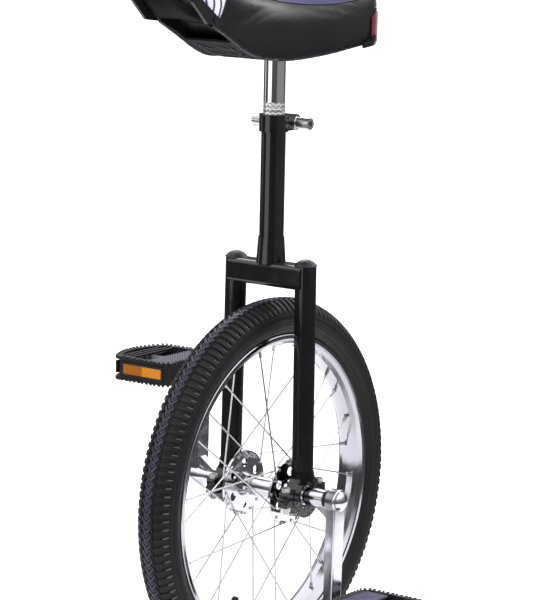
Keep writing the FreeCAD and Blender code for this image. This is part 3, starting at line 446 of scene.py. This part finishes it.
def make_tread(shoulder_rubber, centre_sheen_rubber, rib_highlight_rubber):
    """Slanted bars on both shoulders, chevrons round the middle, and thin ribs on both; the ribs
    are in a lighter rubber as a painted highlight, and the chevrons in a blue-tinted rubber as a
    painted sheen.
    """
    shoulder_verts, shoulder_faces = [], []
    centre_verts, centre_faces = [], []
    rib_verts, rib_faces = [], []
    for k in range(PITCHES):
        turn = 2 * math.pi * k / PITCHES
        for side in (-1, 1):
            bar = [(side * s, BAR_SLANT * (s - BAR_START), BAR_HALF + BAR_WIDENING * s)
                   for s in BAR_STATIONS]
            add_block(shoulder_verts, shoulder_faces, turn, bar, TYRE_SECTION_R - 0.15)
            rib = [(side * s, BAR_SLANT * (s - BAR_START) + RIB_SHIFT, RIB_HALF)
                   for s in RIB_STATIONS]
            add_block(rib_verts, rib_faces, turn, rib, TYRE_SECTION_R)
        chevron = [(s, CHEVRON_SLANT * abs(s), CHEVRON_HALF) for s in CHEVRON_STATIONS]
        add_block(centre_verts, centre_faces, turn, chevron, TYRE_SECTION_R - 0.1)
        spine = [(s, CHEVRON_SLANT * abs(s) + SPINE_SHIFT, SPINE_HALF) for s in SPINE_STATIONS]
        add_block(rib_verts, rib_faces, turn, spine, TYRE_SECTION_R - 0.5)
    blocks = add_piece("tyre_shoulder_blocks", shoulder_verts, shoulder_faces, "wheel",
                       shoulder_rubber)
    chain = add_piece("tyre_centre_chevrons", centre_verts, centre_faces, "wheel", centre_sheen_rubber)
    ribs = add_piece("tyre_block_ribs", rib_verts, rib_faces, "wheel", rib_highlight_rubber)


# ---- pedals -------------------------------------------------------------------------
def pedal_outline(half_length, depth, inset):
    """Points round the pedal: cut corners at the crank end and a bowed outer end."""
    x, y0, y1 = half_length - inset, inset, depth - PEDAL_BOW - inset
    cut = PEDAL_CORNER - 0.4 * inset
    corners = [(-x, y1 - cut), (-x, y0 + cut), (-x + cut, y0),
               (x - cut, y0), (x, y0 + cut), (x, y1 - cut)]
    rise = cut + PEDAL_BOW
    bow_r = (x * x + rise * rise) / (2 * rise)
    centre_y = y1 + PEDAL_BOW - bow_r
    swing = math.asin(min(1.0, x / bow_r))
    path = []
    for a, b in zip(corners, corners[1:]):
        path += [(a[0] + (b[0] - a[0]) * t / 40, a[1] + (b[1] - a[1]) * t / 40)
                 for t in range(40)]
    for t in range(120):
        angle = swing - 2 * swing * t / 120
        path.append((bow_r * math.sin(angle), centre_y + bow_r * math.cos(angle)))
    return path


def path_lengths(path):
    """Length of a closed path up to each of its points, and its whole length."""
    total, lengths = 0.0, []
    for a, b in zip(path, path[1:] + path[:1]):
        lengths.append(total)
        total += math.hypot(b[0] - a[0], b[1] - a[1])
    return lengths, total


def add_box(verts, faces, low, high):
    first = len(verts)
    for x in (low[0], high[0]):
        for y in (low[1], high[1]):
            for z in (low[2], high[2]):
                verts.append((x, y, z))
    for face in BOX_FACES:
        faces.append(tuple(first + i for i in face))


def add_slant(verts, faces, limits, start, slope, heights, half):
    """Rib on a slant across the deck, cut off at the deck's sides and ends."""
    reach, y0, y1 = limits
    ends = []
    for y in (y0, y1):
        x = start - reach + (y - y0) / slope
        inside = max(-reach, min(reach, x))
        ends.append((inside, y0 + (inside - start + reach) * slope))
    if ends[0][0] == ends[1][0]:
        return
    first = len(verts)
    for x, y in ends:
        for shift in (-half, half):
            for z in heights:
                verts.append((x + shift, y, z))
    for face in BOX_FACES:
        faces.append(tuple(first + i for i in face))


def make_pedal(side_name, plastic_look, platform_look, stud_look):
    """Pedal body: toothed flanges round a set-in waist, ribs, ribbed deck, studs and barrel."""
    low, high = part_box(f"{side_name}_pedal_body")
    side = 1 if low.y > 0 else -1
    middle = (low + high) / 2
    half_length = (high.x - low.x) / 2 / MM
    depth = (high.y - low.y) / MM
    half_height = (high.z - low.z) / 2 / MM
    inner_y = low.y if side > 0 else high.y

    def place(point):
        x, y, z = point
        return (middle.x + x * MM, inner_y + side * y * MM, middle.z + z * MM)

    rim = pedal_outline(half_length, depth, 0.0)
    root = pedal_outline(half_length, depth, TOOTH_DEPTH)
    waist = pedal_outline(half_length, depth - WAIST_SHORT, WAIST_IN)
    groove = pedal_outline(half_length, depth, 3.4)
    inside = pedal_outline(half_length, depth, PEDAL_WALL + 2.0)
    lengths, total = path_lengths(rim)
    teeth = round(total / TOOTH_PITCH)
    verts = []
    for i, length in enumerate(lengths):
        wave = max(0.0, min(1.0, 0.5 + 1.6 * math.sin(2 * math.pi * teeth * length / total)))
        edge = tuple(r + (t - r) * wave for r, t in zip(root[i], rim[i]))
        top = half_height - TOOTH_SAG * (1.0 - wave)
        lip = half_height - FLANGE_THICK
        ring = [(*edge, top - 0.6), (*edge, lip), (*waist[i], lip - 0.8), (*waist[i], 0.8 - lip),
                (*edge, -lip), (*edge, 0.6 - top), (*groove[i], -top),
                (*inside[i], 1.4 - half_height), (*inside[i], half_height - 1.4),
                (*groove[i], top)]
        verts += [place(p) for p in ring]
    body = f"{side_name}_pedal"
    shell = add_piece(f"{side_name}_pedal_rims", verts, ring_faces(len(rim), 10), body,
                      plastic_look)
    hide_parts(f"{side_name}_pedal_body")

    verts, faces = [], []
    reach = half_length - PEDAL_WALL
    end = depth - PEDAL_BOW
    for row in BAR_ROWS:
        y = row if row > 0 else end + row
        add_box(verts, faces, (-reach, y, -BAR_TALL), (reach, y + BAR_WIDTH, BAR_TALL))
    for sign in (-1, 1):
        for row in SLAT_ROWS:
            y = end - row
            z0, z1 = sorted((sign * (half_height - 5.0), sign * (half_height - 2.2)))
            add_box(verts, faces, (-reach + 1, y, z0), (reach - 1, y + SLAT_WIDTH, z1))
    glass_low, glass_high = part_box(f"{side_name}_pedal_reflectors")
    near, far = sorted(abs(y - inner_y) / MM for y in (glass_low.y, glass_high.y))
    tall = (glass_high.z - glass_low.z) / 2 / MM
    for sign in (-1, 1):
        x0, x1 = sorted((sign * (half_length - 2.4), sign * (half_length + 0.6)))
        y_in, y_out, z_in, z_out = near - BEZEL_GAP, far + BEZEL_GAP, tall + BEZEL_GAP, tall + BEZEL
        for y0, y1, z0, z1 in ((near - 2.4, y_in, -z_out, z_out), (y_out, far + 2.4, -z_out, z_out),
                               (y_in, y_out, z_in, z_out), (y_in, y_out, -z_out, -z_in)):
            add_box(verts, faces, (x0, y0, z0), (x1, y1, z1))
    rib_verts, rib_faces = [], []
    for sign in (-1, 1):
        z0, z1 = sorted((sign * (half_height - 5.6), sign * (half_height - 3.4)))
        add_box(verts, faces, (-reach + 3, DECK_Y[0], z0), (reach - 3, DECK_Y[1], z1))
        heights = sorted((sign * (half_height - 3.5), sign * (half_height - 2.0)))
        for k in range(-12, 42):
            add_slant(rib_verts, rib_faces, (reach - 4, *DECK_RIB_Y), DECK_RIB_PITCH * k,
                      DECK_RIB_SLOPE, heights, DECK_RIB_HALF)
    ribs = add_piece(f"{side_name}_pedal_ribs", [place(v) for v in verts], faces, body,
                     plastic_look)
    add_bevel(ribs, 0.0004)
    deck = add_piece(f"{side_name}_pedal_decks", [place(v) for v in rib_verts], rib_faces, body,
                     platform_look)

    verts, faces = [], []
    for tooth in range(teeth):
        goal = total * (tooth + 0.25) / teeth
        i = max(j for j, length in enumerate(lengths) if length <= goal)
        (x, y), (nx, ny) = rim[i], rim[(i + 1) % len(rim)]
        gap = math.hypot(nx - x, ny - y) or 1.0
        along = ((nx - x) / gap, (ny - y) / gap)
        inwards = (-x, depth / 2 - y)
        size = math.hypot(*inwards)
        x, y = x + STUD_IN * inwards[0] / size, y + STUD_IN * inwards[1] / size
        for sign in (-1, 1):
            first = len(verts)
            for a in (-STUD_HALF_LENGTH, STUD_HALF_LENGTH):
                for c in (-STUD_HALF_WIDTH, STUD_HALF_WIDTH):
                    for z in (half_height - STUD_SINK, half_height + STUD_RISE):
                        verts.append((x + a * along[0] - c * along[1],
                                      y + a * along[1] + c * along[0], sign * z))
            for face in BOX_FACES:
                faces.append(tuple(first + j for j in face))
    studs = add_piece(f"{side_name}_pedal_studs", [place(v) for v in verts], faces, body, stud_look)

    verts = []
    for k in range(32):
        angle = 2 * math.pi * k / 32
        for radius, y in BARREL_SECTION:
            y = y if y > 0 else depth + y
            verts.append(place((radius * math.cos(angle), y, radius * math.sin(angle))))
    barrel = add_piece(f"{side_name}_pedal_barrel", verts, ring_faces(32, 5), body, plastic_look,
                       True)
    barrel.data.set_sharp_from_angle(angle=math.radians(35))


def add_bevel(piece, width):
    bevel = piece.modifiers.new("edges", "BEVEL")
    bevel.width = width
    bevel.segments = 2
    bevel.limit_method = "ANGLE"


# ---- saddle -------------------------------------------------------------------------
def apply_modifiers(piece):
    graph = bpy.context.evaluated_depsgraph_get()
    mesh = bpy.data.meshes.new_from_object(piece.evaluated_get(graph))
    piece.modifiers.clear()
    piece.data = mesh


def make_cushion(cover):
    """Foam pad in its cover: the CAD solid remeshed, then swelled a little by cloth pressure."""
    source = nodes["saddle_cushion"].data.copy()
    work = bmesh.new()
    work.from_mesh(source)
    bmesh.ops.remove_doubles(work, verts=work.verts, dist=0.00002)
    work.to_mesh(source)
    work.free()
    pad = bpy.data.objects.new("saddle_pad", source)
    bpy.context.scene.collection.objects.link(pad)
    remesh = pad.modifiers.new("remesh", "REMESH")
    remesh.mode = "VOXEL"
    remesh.voxel_size = CUSHION_VOXEL
    apply_modifiers(pad)
    swell(pad)
    smooth = pad.modifiers.new("smooth", "SMOOTH")
    smooth.factor = 0.5
    smooth.iterations = 4
    finer = pad.modifiers.new("finer", "SUBSURF")
    finer.levels = 1
    finer.render_levels = 1
    apply_modifiers(pad)
    for face in pad.data.polygons:
        face.use_smooth = True
    pad.data.materials.clear()
    pad.data.materials.append(cover)
    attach(pad, "seat")
    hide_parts("saddle_cushion")
    return pad


def swell(pad):
    """Cloth pressure on the pad, with its lower edge held and every point's travel capped."""
    scene = bpy.context.scene
    rest = [v.co.copy() for v in pad.data.vertices]
    held = pad.vertex_groups.new(name="held")
    for i, co in enumerate(rest):
        height = co.z - (SEAM_LOW_Z - HELD_BELOW)
        held.add([i], max(0.0, min(1.0, 1.0 - height / HELD_FADE)), "REPLACE")
    cloth = pad.modifiers.new("cloth", "CLOTH")
    cloth.settings.use_pressure = True
    cloth.settings.uniform_pressure_force = 4.0
    cloth.settings.effector_weights.gravity = 0.0
    cloth.settings.vertex_group_mass = "held"
    for frame_number in range(1, 21):
        scene.frame_set(frame_number)
    apply_modifiers(pad)
    for vertex, start in zip(pad.data.vertices, rest):
        move = vertex.co - start
        if move.length > CUSHION_CAP:
            vertex.co = start + move.normalized() * CUSHION_CAP
    scene.frame_set(1)


def tube_along(name, points, radius, material):
    """Round cord of the saddle through a row of points."""
    curve = bpy.data.curves.new(name, "CURVE")
    curve.dimensions = "3D"
    curve.bevel_depth = radius
    curve.bevel_resolution = 3
    spline = curve.splines.new("POLY")
    spline.points.add(len(points) - 1)
    for target, point in zip(spline.points, points):
        target.co = (*point, 1.0)
    piece = bpy.data.objects.new(name, curve)
    bpy.context.scene.collection.objects.link(piece)
    curve.materials.append(material)
    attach(piece, "seat")
    return piece


def surface_tree(mesh):
    """The mesh's faces, ready to be hit by rays."""
    return BVHTree.FromPolygons([v.co for v in mesh.vertices], [p.vertices for p in mesh.polygons])


def make_seams(pad, piping):
    """Piping laid on the pad's surface where its panels meet."""
    pad_tree = surface_tree(pad.data)
    around = []
    for k in range(241):
        angle = math.radians(15 + 330 * k / 240)
        outwards = Vector((math.cos(angle), math.sin(angle), 0.0))
        height = SEAM_LOW_Z
        hit = None
        for _ in range(6):
            start = Vector((0.02, 0.0, height)) + outwards * 0.5
            hit = pad_tree.ray_cast(start, -outwards)[0]
            if hit is None:
                break
            height = SEAM_LOW_Z + SEAM_RISE * (hit.x - SEAM_LOW_X) ** 2
        if hit is not None and hit.x < 0.118:
            around.append(hit)
    tube_along("saddle_seam_piping", around, 0.0011, piping)
    for side in (-1, 1):
        for name, run in (("rear", -PANEL_LEAN), ("front", PANEL_RUN)):
            edge = []
            for k in range(30):
                z = PANEL_TIP[1] + 0.0012 * k
                start = Vector((PANEL_TIP[0] + run * (z - PANEL_TIP[1]), side * 0.2, z))
                hit = pad_tree.ray_cast(start, Vector((0, -side, 0)))[0]
                if hit is not None and side * hit.y > 0.02:
                    edge.append(hit)
            hand = "left" if side > 0 else "right"
            tube_along(f"saddle_panel_{name}_piping_{hand}", edge, 0.0008, piping)


def make_hem(hem_look):
    """Folded hem along the lower edge of the saddle's skirt, on both sides."""
    tree = surface_tree(nodes["saddle_cushion"].data)
    for side in (-1, 1):
        edge = []
        for k in range(124):
            x = -0.078 + 0.002 * k
            for step in range(160):
                z = HUB_Z + 0.50 + 0.0005 * step
                hit = tree.ray_cast(Vector((x, side * 0.2, z)), Vector((0, -side, 0)))[0]
                if hit is not None and side * hit.y > 0.03:
                    edge.append(hit + Vector((0, -side * 0.0010, 0.0009)))
                    break
        tube_along(f"saddle_hem_{'left' if side > 0 else 'right'}", edge, 0.0014, hem_look)


def make_pan_ribs(look):
    """Thin stiffening ribs across and along the saddle pan's underside, ahead of the post."""
    tree = surface_tree(nodes["saddle_base"].data)
    runs = [[(x + 0.004 * math.sin(k), -0.026 + 0.004 * k) for k in range(14)]
            for x in (0.058, 0.076, 0.094, 0.112)]
    runs += [[(0.046 + 0.004 * k, y) for k in range(19)] for y in (-0.022, 0.022)]
    for number, run in enumerate(runs):
        line = []
        for x, y in run:
            hit = tree.ray_cast(Vector((x, y, 0.6)), Vector((0, 0, 1)))[0]
            if hit is not None:
                line.append(hit)
        rib = tube_along(f"saddle_pan_rib_{number + 1}", line, 0.0011, look)


def make_insert(red):
    """Coloured strip wrapped round the rear bumper, wider at its middle than at its ends."""
    low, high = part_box("rear_bumper_insert")
    bend_x = low.x + STRIP_OUTER_R
    bend_y = high.y - STRIP_OUTER_R + 0.0085
    middle_z = (low.z + high.z) / 2
    half = (high.z - low.z) / 2
    turns = [math.radians(STRIP_START + (180 - STRIP_START) * k / 24) for k in range(25)]
    columns = [(bend_y, turn) for turn in turns]
    columns += [(-bend_y, 2 * math.pi - turn) for turn in reversed(turns)]
    last = len(columns) - 1
    verts = []
    for i, (y, turn) in enumerate(columns):
        ease = min(1.0, min(i, last - i) / 4)
        tall = half * (STRIP_NARROW + (1 - STRIP_NARROW) * math.sin(ease * math.pi / 2))
        for radius in (STRIP_INNER_R, STRIP_OUTER_R):
            for z in (middle_z - tall, middle_z + tall):
                verts.append((bend_x + radius * math.cos(turn), y + radius * math.sin(turn), z))
    faces = []
    for i in range(last):
        a, b = 4 * i, 4 * i + 4
        for p, q in ((0, 1), (1, 3), (3, 2), (2, 0)):
            faces.append((a + p, a + q, b + q, b + p))
    faces += [(0, 2, 3, 1), (4 * last, 4 * last + 1, 4 * last + 3, 4 * last + 2)]
    strip = add_piece("bumper_strip", verts, faces, "seat", red, True)
    strip.data.set_sharp_from_angle(angle=math.radians(35))
    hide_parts("rear_bumper_insert")


# ---- studio -------------------------------------------------------------------------
NEAR_FLOOR = 0.88            # the part of the floor that the object mirrors
FLOOR_REACH = 45.0
WORLD_FADE = (0.12, 0.62)    # heights of the world's ball where the light begins and is full
WORLD_LIGHT = (0.10, 2.1)    # strength below and above them

# name, angle in degrees, distance, width, height, middle's height, radiance, aimed height
LIGHTS = (
    ("key", -14.0, 2.0, 1.3, 2.0, 1.1, 1.8, 1.1),
    ("side", 105.0, 2.4, 4.6, 2.0, 1.1, 0.22, 1.1),
    ("back", 190.0, 2.6, 0.8, 2.0, 1.2, 0.9, 1.2),
    ("rear_side", 285.0, 2.6, 0.5, 2.0, 1.2, 1.0, 1.2),
    ("seat_left", 150.0, 1.9, 0.8, 0.5, 2.0, 11.0, 0.8),
    ("seat_right", 220.0, 1.9, 0.8, 0.5, 2.0, 7.0, 0.8),
)

CAMERA_TURNS = (125.747, 10.057, 1.283)    # azimuth, elevation and roll, in degrees
CAMERA_PLACE = (2.4778, 1.7915, HUB_Z + 0.7663)
CAMERA_LENS = 160.26


def add_floor(name, inner, outer, look):
    """Flat ring of floor round the object."""
    verts, faces = [], []
    for k in range(96):
        angle = 2 * math.pi * k / 96
        verts += [(r * math.cos(angle), r * math.sin(angle), 0.0) for r in (inner, outer)]
        a, b = 2 * k, (2 * k + 2) % 192
        faces.append((a, a + 1, b + 1, b))
    mesh = bpy.data.meshes.new(name)
    mesh.from_pydata(verts, [], faces)
    mesh.materials.append(look)
    floor = bpy.data.objects.new(name, mesh)
    bpy.context.scene.collection.objects.link(floor)
    return floor


def make_world():
    """Bright overhead light that fades to a dark studio near the horizon."""
    world = bpy.data.worlds.new("studio")
    world.use_nodes = True
    tree = world.node_tree
    place = tree.nodes.new("ShaderNodeTexCoord")
    axes = tree.nodes.new("ShaderNodeSeparateXYZ")
    fade = tree.nodes.new("ShaderNodeMapRange")
    fade.interpolation_type = "SMOOTHSTEP"
    for index, number in enumerate((0.0, *WORLD_FADE, *WORLD_LIGHT)):
        fade.inputs[index].default_value = number
    tree.links.new(place.outputs["Generated"], axes.inputs[0])
    tree.links.new(axes.outputs[2], fade.inputs[0])
    background = tree.nodes["Background"]
    background.inputs["Color"].default_value = (0.97, 0.98, 1.0, 1.0)
    tree.links.new(fade.outputs[0], background.inputs["Strength"])
    bpy.context.scene.world = world


def make_softbox(name, turn, distance, width, height, middle_z, radiance, aim_z):
    """Soft light at an angle round the object, turned towards a height on its axis."""
    place = Vector((math.cos(turn) * distance, math.sin(turn) * distance, middle_z))
    lamp = bpy.data.lights.new(name, "AREA")
    lamp.shape = "RECTANGLE"
    lamp.size = width
    lamp.size_y = height
    lamp.energy = radiance * math.pi * width * height
    light = bpy.data.objects.new(name, lamp)
    bpy.context.scene.collection.objects.link(light)
    light.location = place
    aim = Vector((0.0, 0.0, aim_z)) - place
    light.rotation_euler = aim.to_track_quat("-Z", "Y").to_euler()


def make_studio():
    """Pale floor, soft lights and the world round the object."""
    look = Graph("pale_floor", roughness=0.9, Specular_IOR_Level=0.0)
    look.colour(look.mix(look.noise(1.5, 2.0), (0.88, 0.88, 0.88), (0.92, 0.92, 0.92)))
    add_floor("floor_near", 0.001, NEAR_FLOOR, look.material)
    far = add_floor("floor_far", NEAR_FLOOR, FLOOR_REACH, look.material)
    far.visible_glossy = False
    make_world()
    for name, turn, *sizes in LIGHTS:
        make_softbox(name, math.radians(turn), *sizes)
    bpy.context.scene.view_settings.view_transform = "Standard"


def make_camera():
    """Camera on the object's front left, slightly above the hub, rolled by about a degree."""
    azimuth, elevation, roll = (math.radians(a) for a in CAMERA_TURNS)
    back = Vector((math.sin(azimuth) * math.cos(elevation),
                   -math.cos(azimuth) * math.cos(elevation), math.sin(elevation)))
    right = Vector((math.cos(azimuth), math.sin(azimuth), 0.0))
    up = back.cross(right)
    data = bpy.data.cameras.new("camera")
    data.lens = CAMERA_LENS
    data.sensor_width = 36.0
    camera = bpy.data.objects.new("camera", data)
    bpy.context.scene.collection.objects.link(camera)
    across = right * math.cos(roll) + up * math.sin(roll)
    upwards = -right * math.sin(roll) + up * math.cos(roll)
    turn = Matrix((across, upwards, back)).transposed().to_4x4()
    camera.matrix_world = Matrix.Translation(CAMERA_PLACE) @ turn
    data.clip_end = 60.0
    bpy.context.scene.camera = camera


# ---- looks of the CAD pieces --------------------------------------------------------
def dress_nodes(looks):
    """Gives every CAD piece the look of its material slot."""
    for entry in frame["record"]["subparts"]:
        node = nodes[entry["node"]]
        node.data.materials.clear()
        node.data.materials.append(looks[entry["material_slot"]])


collar_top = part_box("seat_collar")[1].z
black_plastic = plastic("moulded_black", (0.007, 0.007, 0.008), (0.014, 0.014, 0.016), 0.36)
bright_zinc = plated_metal("fastener_zinc", (0.50, 0.50, 0.50), (0.72, 0.72, 0.70), 0.24, 0.1)
KNURLED_BAND = 0.014         # height of the post's knurled band above the seat collar
looks = {
    "tyre_rubber": plastic("tyre_rubber", (0.006, 0.006, 0.007), (0.013, 0.012, 0.013), 0.46, 0.3,
                           shine=0.16),
    "butyl_rubber": plastic("butyl_rubber", (0.012, 0.012, 0.012), (0.022, 0.022, 0.022), 0.6),
    "rim_chrome": plated_metal("rim_chrome", (0.32, 0.32, 0.35), (0.52, 0.52, 0.55), 0.12, 0.06),
    "hub_chrome": plated_metal("hub_chrome", (0.42, 0.42, 0.45), (0.62, 0.62, 0.64), 0.08),
    "crank_chrome": plated_metal("crank_chrome", (0.47, 0.46, 0.50), (0.60, 0.59, 0.63), 0.13),
    "post_chrome": post_chrome(collar_top, collar_top + KNURLED_BAND),
    "spoke_steel": plated_metal("spoke_steel", (0.42, 0.42, 0.43), (0.62, 0.62, 0.63), 0.24),
    "bearing_steel": plated_metal("bearing_steel", (0.45, 0.45, 0.46), (0.70, 0.70, 0.71), 0.18),
    "fastener_zinc": bright_zinc,
    "brass": plated_metal("brass", (0.50, 0.38, 0.14), (0.72, 0.58, 0.28), 0.25),
    "frame_black": enamel("frame_black"),
    "moulded_black": black_plastic,
    "bumper_black": plastic("bumper_black", (0.006, 0.006, 0.007), (0.014, 0.014, 0.015), 0.22,
                            0.1),
    "bumper_red": plastic("bumper_red", (0.09, 0.010, 0.018), (0.19, 0.026, 0.042), 0.26, 0.1),
    "reflector_amber": amber_lens(),
    "saddle_cover": saddle_cover(),
}
dress_nodes(looks)
# Black plastic of the saddle's pan, coloured darker than the other black plastic as painted shade
# under the saddle.
pan_shade_look = plastic("saddle_pan_black_painted_shade", (0.003, 0.003, 0.004), (0.006, 0.006, 0.007), 0.42, 0.2,
                   shine=0.07)
nodes["saddle_base"].data.materials[0] = pan_shade_look
cast_look = cast_enamel("bearing_cast_black")
for name in ("left_bearing_holder", "right_bearing_holder",
             "left_bearing_cap", "right_bearing_cap"):
    nodes[name].data.materials[0] = cast_look
# Dark rubber with a blue tint for the centre chevrons; the blue tint is a painted sheen.
centre_sheen_rubber = plastic("tyre_centre_painted_sheen", (0.012, 0.013, 0.024), (0.030, 0.030, 0.055), 0.36,
                        0.2)
# Lighter rubber on the thin ribs and the chevrons' spines, as a painted highlight.
rib_highlight_rubber = plastic("tyre_rib_painted_highlight", (0.035, 0.035, 0.038), (0.10, 0.10, 0.105), 0.34, 0.2)
deck_plastic = plastic("pedal_deck_plastic", (0.10, 0.09, 0.14), (0.20, 0.18, 0.26), 0.30, 0.1)
stud_plastic = plastic("pedal_stud_plastic", (0.06, 0.06, 0.065), (0.16, 0.16, 0.17), 0.3, 0.1)
piping_look = plastic("saddle_piping", (0.010, 0.010, 0.012), (0.022, 0.022, 0.026), 0.20, 0.1,
                      shine=0.6)

make_camera()
make_studio()
make_carcass(looks["tyre_rubber"])
make_tread(looks["tyre_rubber"], centre_sheen_rubber, rib_highlight_rubber)
for name in ("left", "right"):
    make_pedal(name, black_plastic, deck_plastic, stud_plastic)
saddle_pad = make_cushion(looks["saddle_cover"])
make_seams(saddle_pad, piping_look)
make_hem(piping_look)
make_pan_ribs(looks["bumper_black"])
make_insert(looks["bumper_red"])
